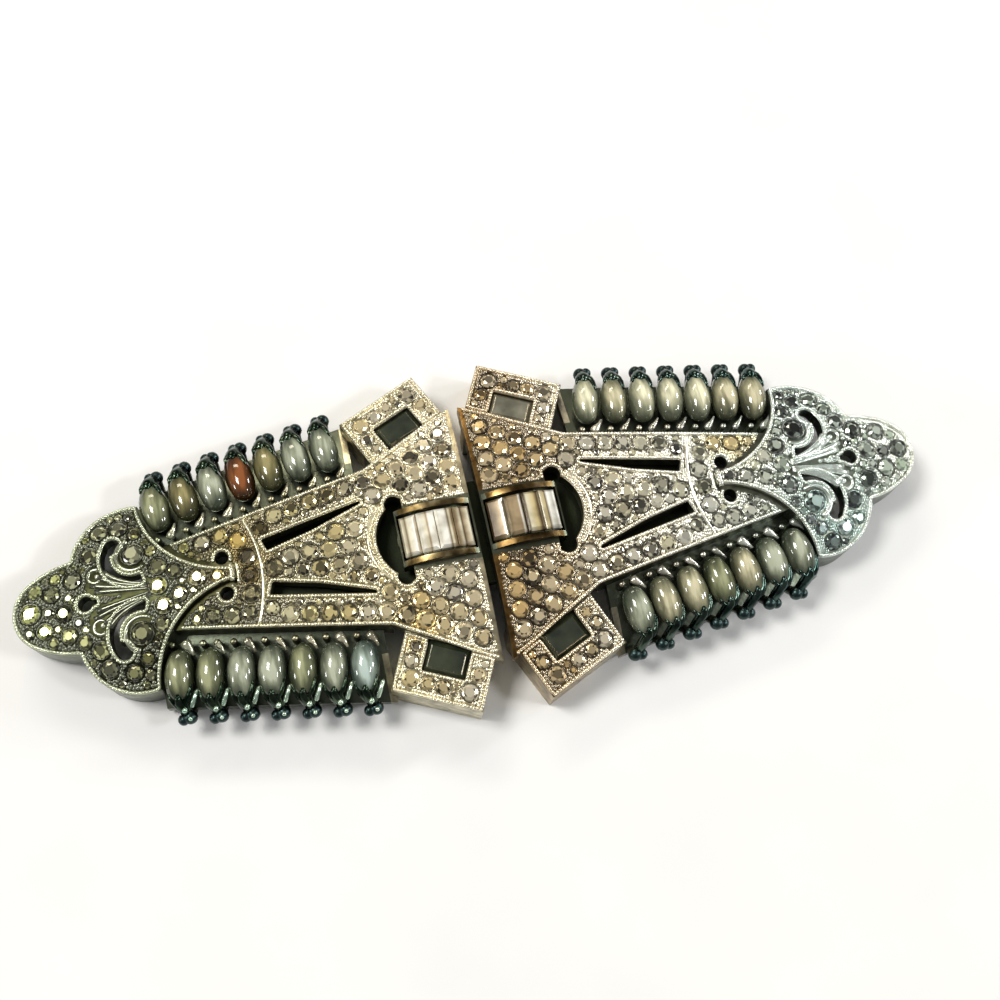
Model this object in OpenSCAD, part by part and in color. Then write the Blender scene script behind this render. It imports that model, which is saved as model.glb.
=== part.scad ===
// Double clip rhinestone brooch, lying on its back. Millimetres, +Z up, X along the length, seam at X = 0.
// Each clip is a domed, pierced plate with a palmette tip, two shoulder blocks, a barrel and two rows
// of cabochons. A hidden frame with the pin joins the two clips.

/* [Brooch] */
// Length of the brooch from tip to tip
brooch_length = 82; // [80:0.5:84]
// Gap between the two clips at the seam
seam_gap = 0.9; // [0.6:0.1:1.2]
// Height of the dome's crown above the back plane
crown_height = 6.8; // [6.6:0.1:7]
// Radius of the dome along the brooch
dome_radius_long = 300; // [280:10:320]
// Radius of the dome across the brooch
dome_radius_cross = 38; // [36:1:40]

/* [Plates] */
// Thickness of the pierced plates
plate_thickness = 1.4; // [1.3:0.1:1.6]
// Drop of the rail plate below the dome
rail_drop = 0.45; // [0.4:0.05:0.6]
// Rise of the palmette plate above the dome
palmette_rise = 0.15; // [0.1:0.05:0.3]
// Radius of the palmette plate across the brooch
palmette_radius_cross = 20; // [18:1:22]
// Depth of the turned-down edges below the dome
skirt_depth = 2.9; // [2.7:0.1:3.1]
// Thickness of the turned-down edges
skirt_thickness = 0.8; // [0.7:0.1:0.9]

/* [Palmette] */
// Half width of the tip
tip_half_width = 4.2; // [4.1:0.1:4.3]
// Radius of the tip's rounded end
tip_radius = 3.4; // [3.3:0.1:3.5]
// Radius of each side lobe
lobe_radius = 5.2; // [5.1:0.1:5.3]
// Radius of the pocket arc that cuts each side lobe
pocket_radius = 8.7; // [8.68:0.02:8.74]
// Width of the scroll slots
scroll_slot_width = 0.8; // [0.7:0.05:0.9]
// Radius of the round end of a scroll slot
scroll_slot_bulb = 0.72; // [0.7:0.02:0.76]
// Radius of the round end of the keyhole
keyhole_radius = 0.65; // [0.6:0.05:0.7]

/* [Barrel] */
// Radius of the barrel of baguettes
barrel_radius = 6.5; // [6.4:0.1:6.6]
// Height of the barrel's crest above the back plane
barrel_crest = 7.3; // [7.2:0.1:7.4]
// Length of a baguette
baguette_length = 3.6; // [3.5:0.05:3.7]
// Width of a baguette at its widest
baguette_width = 1.56; // [1.5:0.02:1.58]
// Height of a baguette
baguette_height = 0.9; // [0.85:0.05:0.95]
// Thickness of the barrel's side walls
barrel_wall = 0.5; // [0.45:0.05:0.6]

/* [Shoulder blocks] */
// Length of a block along its outer edge
block_length = 8.1; // [8:0.1:8.2]
// Width of a block
block_width = 7.4; // [7.2:0.1:7.5]
// Angle of a block's outer edge to the length of the brooch
block_turn = 25; // [24:1:26]
// Fall of a block's top toward its outer edge
block_tilt = 8; // [7:0.5:9]
// Height of the top at a block's outer edge
block_height = 4; // [3.9:0.1:4.1]
// Thickness of a block's walls
block_wall = 1.1; // [1:0.1:1.2]
// Length of the square-cut stone along the block
square_stone_length = 3.8; // [3.7:0.05:3.9]
// Width of the square-cut stone
square_stone_width = 2.7; // [2.6:0.05:2.75]
// Height of the square-cut stone
square_stone_height = 1.4; // [1.3:0.05:1.4]

/* [Cabochon rows] */
// Spacing of the cabochons along the row
cabochon_pitch = 2.6; // [2.58:0.01:2.62]
// Half width of a cabochon
cabochon_half_width = 1.26; // [1.22:0.02:1.28]
// Half width of the larger cabochon at the tip side
end_cabochon_half_width = 1.31; // [1.29:0.01:1.33]
// Half length of a cabochon
cabochon_half_length = 2.3; // [2.2:0.05:2.35]
// Radius of a cabochon's rounded ends
cabochon_end_radius = 1; // [0.95:0.05:1.05]
// Drop of the gallery floor below the dome
gallery_drop = 2.4; // [2.3:0.1:2.5]
// Thickness of the gallery floor
gallery_thickness = 1; // [0.9:0.1:1.1]
// Radius of a claw's leg
claw_leg_radius = 0.42; // [0.4:0.02:0.44]
// Radius of a claw's knob
claw_knob_radius = 0.62; // [0.6:0.02:0.64]

/* [Pin back] */
// Length of the frame plate
frame_length = 42.4; // [42:0.2:42.6]
// Width of the frame plate at the seam
frame_width = 9.6; // [9.2:0.2:9.8]
// Width of the frame plate at its ends
frame_end_width = 7; // [6.4:0.2:7.2]
// Thickness of the frame plate
frame_thickness = 0.9; // [0.8:0.05:0.95]
// Height of the frame plate's underside above the back plane
frame_height = 3; // [2.9:0.05:3]
// Radius of the pin
pin_radius = 0.4; // [0.35:0.05:0.45]
// Height of the pin's centre above the back plane
pin_height = 1.2; // [1.15:0.05:1.25]
// Distance between the pin's hinge and its catch
pin_span = 36; // [34:1:38]

/* [Hidden] */
SIDES = ["left", "right"];
ROWS = ["far", "near"];
CABOCHONS = 7;
BAGUETTES = 4;
$fn = 96;
ARC_FN = 180;
LONG_FN = 1440;

half_length = brooch_length / 2;
seam_x = seam_gap / 2;
dome_reach = 17.5;
dome_reach_share = 0.8;
fit_gap = 0.06;
cut = 1;

tip_oval_length = 6.1;
tip_x = half_length - tip_oval_length;
lobe_centre = [30.5, 3.3];
pocket_centre = [20.78, 9.2];
scroll_centre = [30.15, 3.55];
scroll_radius = 2.4;
scroll_from = -105;
scroll_to = 25;
scroll_bulb = [31.9, 4.7];
keyhole_x = 34.6;
keyhole_tail_x = 33.6;
keyhole_tail_width = 0.45;
drilled_hole = [22.6, 1.6];
drilled_hole_radius = 0.6;
stem_x = 21.6;
stem_half_width = 4;

rail_tip = [28, 3.7];
rail_bend = [9.2, 7.2];
seam_corner_y = 11.95;
seam_wall_end_y = 11.15;
seam_wall_depth = 1.7;
flare = [[2.8, 10.8], [6.2, 8.85]];
slot_wide_x = 19;
slot_narrow = [10, 4];
slot_narrow_width = 0.25;
slot_skew = 0.4;
slot_outer_y = 2.5;
slot_inner_y = 1.45;
slot_waist = [14.5, 2.45];
crescent_x = 5.2;
crescent_radius = 4;
crescent_cut_margin = 0.1;
crescent_end_radius = 0.75;
crescent_end = [7.2, 3.3];

barrel_x = 3.9;
barrel_half_chord = 3.3;
barrel_z = barrel_crest - barrel_radius;
barrel_floor_radius = barrel_radius - baguette_height - fit_gap;
barrel_rim_drop = 0.1;
barrel_rim_radius = barrel_radius - barrel_rim_drop;
barrel_groove = 0.28;
barrel_inner_y = baguette_length / 2 + barrel_groove;
barrel_outer_y = barrel_inner_y + barrel_wall;
barrel_step = 14.9;
barrel_base_z = crown_height - rail_drop - plate_thickness;
barrel_window_margin = 0.04;
baguette_root_width = 1.34;
baguette_girdle = 0.6;
baguette_bevel = 0.25;

block_corner = [3.1, 15.9];
block_floor = 1.9;
square_stone_inset = 3.68;
square_stone_bevel = 0.45;
square_stone_girdle = 0.3;
square_stone_rise = 0.08;

row_start = [12.2, 9.9];
row_slope = -0.158;
row_turn = atan(row_slope);
end_cabochon_gap = 0.08;
end_cabochon_step = cabochon_half_width + end_cabochon_half_width + end_cabochon_gap;
cabochon_base = 0.9;
cabochon_shift_far = 0.5;
cabochon_shift_near = 0.1;
cabochon_tilt_share = 0.4;
cabochon_lift = 0.36;
gallery_tip_x = 29.6;
gallery_margin = 0.9;
gallery_reach = 2.9;
gallery_tip_reach = 2.5;
claw_reach = 3.6;
claw_shifts_left = [-0.3, -0.3];
claw_shifts_right = [0.4, -1.1];
claw_lean = 26;
claw_leg_length = 2.2;
claw_knob_height = 1.45;
claw_lobe_share = 0.8;
claw_lobe_radius = claw_knob_radius * claw_lobe_share;
claw_lobe_shift = [0.62, 0.1, -0.15];
prong_radius = 0.3;
prong_reach = 2.58;
prong_height = 1.7;
prong_spread = 0.62;

frame_shoulder_x = 11;
post_radius = 1.4;
post_x = [6, 17];
post_gap = 0.05;
post_sink = 0.8;
hinge_size = [3, 3.4];
catch_radius = 0.9;
catch_length = 2.4;
catch_mouth = 0.5;

function cabochon_name(side, row, i) = str("cabochon_", side, "_", row, "_", i);
function baguette_name(side, i) = str("baguette_", side, "_", i);
function square_stone_name(side, row) = str("square_stone_", side, "_", row);

// Height of the dome above the back plane
function dome(p) =
    crown_height - p.x * p.x / (2 * dome_radius_long)
    - (dome_radius_cross - sqrt(dome_radius_cross * dome_radius_cross - p.y * p.y));

// Slope of the dome across the brooch
function cross_slope(y) = asin(y / dome_radius_cross);

// Place of cabochon i on the line of its row, numbered from the tip
function cabochon_x(i) =
    i == 1 ? cabochon_x(2) + end_cabochon_step * cos(row_turn)
           : row_start.x + cabochon_pitch * (CABOCHONS - i);
function row_y(x) = row_start.y + row_slope * (x - row_start.x);
function cabochon_y(i) = row_y(cabochon_x(i));
function half_width(i) = i == 1 ? end_cabochon_half_width : cabochon_half_width;

// Point off the row's line at cabochon i: outward across the row, and along it toward the tip
function off_row(i, outward, along = 0) =
    [cabochon_x(i) - outward * sin(row_turn) + along * cos(row_turn),
     cabochon_y(i) + outward * cos(row_turn) + along * sin(row_turn)];
function gallery_z(p) = dome(p) - gallery_drop;

// Radius of the long side arc of an oval that has rounded ends
function side_arc(a, l, r) = (a * a + pow(l - r, 2) - r * r) / (2 * (a - r));

// Outline of an oval that lies along X, from its middle to its rounded end
module oval_half(a, l, r) {
    arc = side_arc(a, l, r);
    contact = (l - r) * arc / (arc - r);
    intersection() {
        translate([0, a - arc]) circle(r = arc, $fn = ARC_FN);
        translate([0, arc - a]) circle(r = arc, $fn = ARC_FN);
        translate([0, -a]) square([contact, 2 * a]);
    }
    translate([l - r, 0]) circle(r = r);
}

// One layer of a dome, between two drops below its surface
module dome_layer(top_drop, bottom_drop, radius_cross = dome_radius_cross) {
    sweep = 17;
    reach = min(dome_reach, radius_cross * dome_reach_share);
    translate([0, 0, crown_height - dome_radius_long])
    rotate([90, 0, 0])
    rotate([0, 0, 90 - sweep / 2])
    rotate_extrude(angle = sweep, $fn = LONG_FN)
    intersection() {
        translate([dome_radius_long - radius_cross, 0])
        difference() {
            circle(r = radius_cross - top_drop, $fn = ARC_FN);
            circle(r = radius_cross - bottom_drop, $fn = ARC_FN);
        }
        translate([dome_radius_long - radius_cross / 2, -reach])
        square([radius_cross, 2 * reach]);
    }
}

module both_sides() {
    children();
    mirror([0, 1, 0]) children();
}

// Outline of the rail plate with its pavé panels, both halves
module rail_outline() {
    both_sides()
    polygon(concat(
        [[seam_x, -cut], [seam_x, seam_corner_y]], flare, [rail_bend, rail_tip, [rail_tip.x, -cut]]
    ));
}

// Tapered slot between a rail and the middle panel
module tapered_slot() {
    both_sides()
    polygon([
        [slot_wide_x - slot_skew, slot_inner_y], [slot_wide_x, slot_outer_y],
        [slot_narrow.x, slot_narrow.y + slot_narrow_width], slot_narrow, slot_waist
    ]);
}

// Crescent opening around the tip side of the barrel
module crescent() {
    difference() {
        union() {
            translate([crescent_x, 0]) circle(r = crescent_radius);
            both_sides() translate(crescent_end) circle(r = crescent_end_radius);
        }
        translate([seam_x - cut, -barrel_outer_y])
        square([barrel_x + barrel_half_chord + crescent_cut_margin - seam_x + cut, 2 * barrel_outer_y]);
        translate([seam_x - cut, -dome_radius_cross / 2])
        square([crescent_end.x - crescent_end_radius - seam_x + cut, dome_radius_cross]);
    }
}

// Outline of the palmette plate before its piercing, grown or shrunk by a margin
module palmette_outline(margin = 0) {
    difference() {
        union() {
            translate([tip_x, 0])
            oval_half(tip_half_width + margin, tip_oval_length + margin, tip_radius + margin);
            both_sides() translate(lobe_centre) circle(r = lobe_radius + margin);
            translate([stem_x, -stem_half_width - margin])
            square([lobe_centre.x - stem_x, 2 * (stem_half_width + margin)]);
            translate([lobe_centre.x, -tip_half_width - margin])
            square([tip_x - lobe_centre.x, 2 * (tip_half_width + margin)]);
        }
        both_sides() translate(pocket_centre) circle(r = pocket_radius - margin, $fn = ARC_FN);
        translate([-cut, -dome_radius_cross / 2]) square([stem_x + cut - margin, dome_radius_cross]);
    }
}

// Scroll slot: an arc that hooks around its stone and ends in a bulb
module scroll_slot() {
    wedge = 9;
    middle = (scroll_from + scroll_to) / 2;
    both_sides() {
        intersection() {
            translate(scroll_centre)
            difference() {
                circle(r = scroll_radius + scroll_slot_width / 2);
                circle(r = scroll_radius - scroll_slot_width / 2);
            }
            translate(scroll_centre)
            polygon([[0, 0], for (a = [scroll_from, middle, scroll_to]) wedge * [cos(a), sin(a)]]);
        }
        translate(scroll_bulb) circle(r = scroll_slot_bulb);
    }
}

module keyhole() {
    translate([keyhole_x, 0]) circle(r = keyhole_radius);
    translate([keyhole_tail_x, -keyhole_tail_width / 2])
    square([keyhole_x - keyhole_tail_x, keyhole_tail_width]);
}

// Places children in the frame of the far shoulder block: X along its outer edge, Y inward, Z off its top
module block_frame(tilt = true) {
    translate([block_corner.x, block_corner.y, block_height])
    rotate([0, 0, -block_turn])
    mirror([0, 1, 0])
    rotate([tilt ? block_tilt : 0, 0, 0])
    children();
}

// Seat of the far block's stone
module stone_seat() {
    block_frame()
    translate([
        (block_length - square_stone_length) / 2 - fit_gap,
        square_stone_inset - square_stone_width / 2 - fit_gap,
        square_stone_rise - square_stone_height - fit_gap
    ])
    cube([square_stone_length + 2 * fit_gap, square_stone_width + 2 * fit_gap, 2 * square_stone_height]);
}

// Shoulder block, open below
module shoulder_block() {
    deep = 2 * block_height;
    difference() {
        intersection() {
            block_frame(false)
            translate([0, 0, -block_height])
            cube([block_length, block_width, deep]);
            block_frame()
            translate([-cut, -cut, -deep])
            cube([block_length + 2 * cut, block_width + 2 * cut, deep]);
        }
        block_frame(false)
        translate([block_wall, block_wall, -block_height - cut])
        cube([block_length - 2 * block_wall, block_width, block_height + cut - block_floor]);
        translate([-deep + seam_x, 0, -cut]) cube([deep, 2 * dome_radius_cross, deep]);
    }
}

// Barrel housing: a drum floor between two rims
module barrel_housing() {
    width = 2 * barrel_outer_y;
    intersection() {
        translate([barrel_x - barrel_half_chord, -width, barrel_base_z])
        cube([2 * barrel_half_chord, 2 * width, barrel_crest]);
        translate([barrel_x, 0, barrel_z])
        rotate([90, 0, 0])
        cylinder(r = barrel_floor_radius, h = width, center = true, $fn = ARC_FN);
    }
    both_sides()
    intersection() {
        translate([barrel_x - barrel_half_chord, 0, barrel_base_z])
        cube([2 * barrel_half_chord, width, barrel_crest]);
        translate([barrel_x, barrel_outer_y, barrel_z])
        rotate([90, 0, 0])
        cylinder(r = barrel_rim_radius, h = barrel_wall, $fn = ARC_FN);
    }
}

// Window in the plate where the baguettes lie
module barrel_window() {
    reach = barrel_half_chord - barrel_window_margin;
    translate([barrel_x - reach, -barrel_inner_y]) square([2 * reach, 2 * barrel_inner_y]);
}

// Strip of the gallery under the far row of cabochons
module gallery_outline() {
    start_x = row_start.x - cabochon_half_width - gallery_margin;
    polygon([
        [start_x, row_y(start_x) + gallery_reach],
        [start_x, rail_bend.y - skirt_thickness],
        [gallery_tip_x, rail_tip.y - skirt_thickness],
        [gallery_tip_x, row_y(gallery_tip_x) + gallery_tip_reach]
    ]);
}

// Wall under the outer edge of the far rail
module rail_wall_outline() {
    drop = [0, -skirt_thickness];
    polygon([rail_tip, rail_bend, rail_bend + drop, rail_tip + drop]);
}

// Forked outer claw of one cabochon: a leg with its knob, and a lobe beside the knob
module claw(i, shift) {
    p = [cabochon_x(i) + shift, cabochon_y(i) + claw_reach];
    translate([p.x, p.y, gallery_z(p) + claw_knob_height]) {
        sphere(r = claw_knob_radius, $fn = 48);
        translate(claw_lobe_shift) sphere(r = claw_lobe_radius, $fn = 48);
        rotate([180 - claw_lean, 0, 0]) cylinder(r = claw_leg_radius, h = claw_leg_length, $fn = 32);
    }
}

// Outer claws of the far and the near row, each row with its own shift along the brooch
module claws(shifts) {
    for (i = [1:CABOCHONS]) {
        claw(i, shifts[0]);
        mirror([0, 1, 0]) claw(i, shifts[1]);
    }
}

// Inner prongs of one cabochon, two rounded posts on the gallery
module prongs(i) {
    for (side = [-1, 1]) {
        p = off_row(i, -prong_reach, side * prong_spread);
        translate([p.x, p.y, gallery_z(p) - gallery_thickness / 2]) {
            cylinder(r = prong_radius, h = prong_height, $fn = 32);
            translate([0, 0, prong_height]) sphere(r = prong_radius, $fn = 32);
        }
    }
}

module clip_metal(claw_shifts) {
    difference() {
        clip_casting(claw_shifts);
        both_sides() stone_seat();
    }
}

// All cast and soldered metal of one clip, before the square stones' seats are cut
module clip_casting(claw_shifts) {
    deep = 3 * crown_height;
    union() {
        intersection() {
            dome_layer(rail_drop, rail_drop + plate_thickness);
            linear_extrude(deep)
            difference() {
                rail_outline();
                tapered_slot();
                crescent();
                barrel_window();
                both_sides() translate(drilled_hole) circle(r = drilled_hole_radius);
                palmette_outline(-skirt_thickness);
            }
        }
        intersection() {
            dome_layer(-palmette_rise, plate_thickness - palmette_rise, palmette_radius_cross);
            linear_extrude(deep)
            difference() {
                palmette_outline();
                scroll_slot();
                keyhole();
                both_sides() translate(drilled_hole) circle(r = drilled_hole_radius);
            }
        }
        intersection() {
            dome_layer(-palmette_rise, skirt_depth, palmette_radius_cross);
            linear_extrude(deep)
            difference() {
                palmette_outline();
                palmette_outline(-skirt_thickness);
                both_sides() translate(drilled_hole) circle(r = drilled_hole_radius);
            }
        }
        intersection() {
            dome_layer(rail_drop, gallery_drop + gallery_thickness);
            linear_extrude(deep) both_sides() rail_wall_outline();
        }
        intersection() {
            dome_layer(gallery_drop, gallery_drop + gallery_thickness);
            linear_extrude(deep) both_sides() gallery_outline();
        }
        intersection() {
            dome_layer(rail_drop, rail_drop + seam_wall_depth);
            linear_extrude(deep)
            both_sides()
            translate([seam_x, barrel_outer_y])
            square([skirt_thickness, seam_wall_end_y - barrel_outer_y]);
        }
        both_sides() shoulder_block();
        claws(claw_shifts);
        both_sides() for (i = [1:CABOCHONS]) prongs(i);
        barrel_housing();
        for (x = post_x)
            translate([x, 0, frame_height + frame_thickness + post_gap])
            cylinder(
                r = post_radius,
                h = dome([x, 0]) - rail_drop - post_sink - frame_height - frame_thickness
            );
    }
}

// Oval cabochon with rounded ends and a flat base, lying across its row
module cabochon(i, shift) {
    a = half_width(i);
    l = cabochon_half_length;
    p = off_row(i, shift);
    color("darkslategray", 0.6)
    translate([p.x, p.y, gallery_z(p) + cabochon_base + fit_gap + cabochon_lift])
    rotate([0, 0, row_turn])
    rotate([-cabochon_tilt_share * cross_slope(p.y), 0, 0])
    intersection() {
        rotate([90, 0, 0])
        rotate_extrude($fn = 64)
        intersection() {
            both_sides() rotate([0, 0, 90]) oval_half(a, l, cabochon_end_radius);
            translate([0, -l]) square([a, 2 * l]);
        }
        translate([-a - cut, -l - cut, -cabochon_base]) cube([2 * (a + cut), 2 * (l + cut), 3 * a]);
    }
}

// Baguette i of the barrel, numbered from the seam, laid across and bevelled on top
module baguette(i) {
    w = baguette_width / 2;
    root = baguette_root_width / 2;
    l = baguette_length / 2;
    girdle = baguette_girdle;
    h = baguette_height;
    color("wheat", 0.7)
    translate([barrel_x, 0, barrel_z])
    rotate([0, (i - (BAGUETTES + 1) / 2) * barrel_step, 0])
    translate([0, 0, barrel_radius - h])
    intersection() {
        rotate([90, 0, 0])
        linear_extrude(2 * l, center = true)
        polygon([
            [-root, 0], [root, 0], [w, girdle], [w - baguette_bevel, h], [baguette_bevel - w, h], [-w, girdle]
        ]);
        rotate([90, 0, 90])
        linear_extrude(4 * w, center = true)
        polygon([
            [-l, 0], [l, 0], [l, girdle], [l - baguette_bevel, h], [baguette_bevel - l, h], [-l, girdle]
        ]);
    }
}

// Profile of the square-cut stone: narrow base, girdle, bevel and flat table
module stone_profile(half) {
    b = square_stone_bevel;
    h = square_stone_height;
    g = square_stone_girdle;
    polygon([
        [b - half, 0], [half - b, 0], [half, h - b - g], [half, h - b],
        [half - b, h], [b - half, h], [-half, h - b], [-half, h - b - g]
    ]);
}

// Square-cut stone of the far block
module square_stone() {
    deep = 2 * square_stone_length;
    color("darkolivegreen")
    block_frame()
    translate([block_length / 2, square_stone_inset, square_stone_rise - square_stone_height])
    intersection() {
        rotate([90, 0, 0]) linear_extrude(deep, center = true) stone_profile(square_stone_length / 2);
        rotate([90, 0, 90]) linear_extrude(deep, center = true) stone_profile(square_stone_width / 2);
    }
}

module clip_right() { color("silver") clip_metal(claw_shifts_right); }

module clip_left() { color("silver") mirror([1, 0, 0]) clip_metal(claw_shifts_left); }

// Half outline of the frame plate: full width at the seam, narrower toward its end
module frame_half_outline() {
    polygon([
        [-cut, -frame_width / 2], [frame_shoulder_x, -frame_width / 2],
        [frame_length / 2, -frame_end_width / 2], [frame_length / 2, frame_end_width / 2],
        [frame_shoulder_x, frame_width / 2], [-cut, frame_width / 2]
    ]);
}

// Plain frame plate with its hinge block, pin and hooked catch, one piece
module pin_back() {
    hinge_x = -pin_span / 2;
    hinge_base = pin_height - catch_radius;
    color("gainsboro") {
        translate([0, 0, frame_height])
        linear_extrude(frame_thickness) {
            frame_half_outline();
            mirror([1, 0, 0]) frame_half_outline();
        }
        translate([hinge_x - hinge_size.x / 2, -hinge_size.y / 2, hinge_base])
        cube([hinge_size.x, hinge_size.y, frame_height + frame_thickness / 2 - hinge_base]);
        translate([hinge_x, 0, pin_height])
        rotate([0, 90, 0])
        cylinder(r = pin_radius, h = pin_span + catch_length);
        translate([pin_span / 2 - catch_length / 2, 0, pin_height])
        difference() {
            union() {
                rotate([0, 90, 0]) cylinder(r = catch_radius, h = catch_length);
                translate([0, -catch_radius, 0])
                cube([catch_length, catch_radius, frame_height + frame_thickness / 2 - pin_height]);
            }
            translate([-cut, pin_radius / 2, -catch_mouth])
            cube([catch_length + 2 * cut, 2 * catch_radius, 2 * catch_mouth]);
        }
    }
}

module on_side(side, row = "far") {
    mirror([side == "left" ? 1 : 0, 0, 0]) mirror([0, row == "near" ? 1 : 0, 0]) children();
}

clip_left();
clip_right();
pin_back();
for (side = SIDES, row = ROWS, i = [1:CABOCHONS])
    on_side(side, row) cabochon(i, row == "far" ? cabochon_shift_far : cabochon_shift_near);
for (side = SIDES, i = [1:BAGUETTES])
    on_side(side) baguette(i);
for (side = SIDES, row = ROWS)
    on_side(side, row) square_stone();
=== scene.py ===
"""Looks of the double clip rhinestone brooch: paving, beaded edges, claw arms and materials over the CAD."""
import math
import random
from itertools import groupby

import bpy
import numpy as np
from mathutils import Matrix, Vector


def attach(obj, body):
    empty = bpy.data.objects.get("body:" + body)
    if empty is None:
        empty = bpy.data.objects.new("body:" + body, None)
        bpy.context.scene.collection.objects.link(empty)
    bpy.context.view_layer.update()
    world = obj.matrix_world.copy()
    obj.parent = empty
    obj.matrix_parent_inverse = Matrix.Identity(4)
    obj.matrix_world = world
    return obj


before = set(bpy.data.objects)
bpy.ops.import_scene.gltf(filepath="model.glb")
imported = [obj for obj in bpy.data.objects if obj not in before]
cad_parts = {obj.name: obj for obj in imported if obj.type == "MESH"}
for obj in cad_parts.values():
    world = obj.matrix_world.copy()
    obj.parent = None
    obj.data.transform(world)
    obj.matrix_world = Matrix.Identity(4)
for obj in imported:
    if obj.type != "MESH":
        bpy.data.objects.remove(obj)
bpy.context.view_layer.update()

scene = bpy.context.scene
MM = 0.001
SIDES = {"right": 1.0, "left": -1.0}
ROWS = {"far": 1.0, "near": -1.0}
WHITE = (1.0, 1.0, 1.0)

# The plan of the right clip, in millimetres

CROWN, LONG_RADIUS, CROSS_RADIUS, PALMETTE_RADIUS = 6.8, 300.0, 38.0, 20.0
RAIL_DROP, PALMETTE_RISE = 0.45, 0.15
SEAM_X = 0.45
TIP_X, TIP_LENGTH, TIP_HALF_WIDTH, TIP_RADIUS = 34.9, 6.1, 4.2, 3.4
LOBE_CENTRE, LOBE_RADIUS = (30.5, 3.3), 5.2
POCKET_CENTRE, POCKET_RADIUS = (20.78, 9.2), 8.7
STEM_X, STEM_HALF_WIDTH = 21.6, 4.0
SCROLL_CENTRE, SCROLL_RADIUS, SCROLL_WIDTH = (30.15, 3.55), 2.4, 0.8
SCROLL_FROM, SCROLL_TO = -105.0, 25.0
SCROLL_BULB, SCROLL_BULB_RADIUS = (31.9, 4.7), 0.72
KEYHOLE_X, KEYHOLE_RADIUS, KEYHOLE_TAIL_X, KEYHOLE_TAIL_WIDTH = 34.6, 0.65, 33.6, 0.45
DRILLED_HOLE, DRILLED_RADIUS = (22.6, 1.6), 0.6
RAIL_TIP, RAIL_BEND, FLARE, SEAM_CORNER_Y = (28.0, 3.7), (9.2, 7.2), ((2.8, 10.8), (6.2, 8.85)), 11.95
SLOT = ((18.6, 1.45), (19.0, 2.5), (10.0, 4.25), (10.0, 4.0), (14.5, 2.45))
CRESCENT_X, CRESCENT_RADIUS, CRESCENT_END, CRESCENT_END_RADIUS = 5.2, 4.0, (7.2, 3.3), 0.75
BARREL_X, BARREL_HALF_CHORD, BARREL_HALF_WIDTH, BARREL_LEDGE, BARREL_GAP = 3.9, 3.3, 2.58, 0.45, 0.1
BARREL_SIDE = BARREL_HALF_WIDTH + BARREL_LEDGE
BLOCK_CORNER, BLOCK_LENGTH, BLOCK_WIDTH, BLOCK_HEIGHT = (3.1, 15.9), 8.1, 7.4, 4.0
BLOCK_TURN, BLOCK_TILT = math.radians(25), math.radians(8)
STONE_LENGTH, STONE_WIDTH, STONE_INSET = 3.8, 2.7, 3.68
ROW_START, ROW_SLOPE, ROW_PITCH, CABOCHONS = (12.2, 9.9), -0.158, 2.6, 7
CABOCHON_HALF_WIDTH, END_CABOCHON_HALF_WIDTH, END_CABOCHON_GAP = 1.26, 1.31, 0.08
CABOCHON_HALF_LENGTH, CABOCHON_END_RADIUS, CABOCHON_SHIFTS = 2.3, 1.0, {"far": 0.5, "near": 0.1}
CABOCHON_TILT_SHARE, CABOCHON_AXIS, GALLERY_DROP = 0.4, 1.32, 2.4
CLAW_REACH, CLAW_KNOB_HEIGHT = 3.6, 1.45
CLAW_SHIFTS = {("left", "far"): -0.3, ("left", "near"): -0.3, ("right", "far"): 0.4, ("right", "near"): -1.1}
ROW_TURN = math.atan(ROW_SLOPE)
BELOW_AXIS = -1.0

# A shape is a function of plan points that gives a value for each, below zero inside the shape


def joined(*shapes):
    return np.minimum.reduce(shapes)


def common(*shapes):
    return np.maximum.reduce(shapes)


def cut(shape, *holes):
    return common(shape, *(-hole for hole in holes))


def circle(p, centre, radius):
    return np.hypot(p[..., 0] - centre[0], p[..., 1] - centre[1]) - radius


def box(p, low, high):
    x, y = p[..., 0], p[..., 1]
    return common(low[0] - x, x - high[0], low[1] - y, y - high[1])


def polygon(p, corners):
    """Signed distance to a polygon, negative inside."""
    x, y = p[..., 0], p[..., 1]
    best = np.full(x.shape, 1e9)
    inside = np.zeros(x.shape, bool)
    for (ax, ay), (bx, by) in zip(corners, corners[1:] + corners[:1]):
        dx, dy = bx - ax, by - ay
        t = np.clip(((x - ax) * dx + (y - ay) * dy) / (dx * dx + dy * dy), 0, 1)
        best = np.minimum(best, np.hypot(x - ax - t * dx, y - ay - t * dy))
        if ay != by:
            inside ^= ((ay > y) != (by > y)) & (x < (bx - ax) * (y - ay) / (by - ay) + ax)
    return np.where(inside, -best, best)


def folded(p):
    """Far half: the plan is the same on both sides of the brooch's long axis."""
    return np.stack([p[..., 0], np.abs(p[..., 1])], -1)


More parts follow.
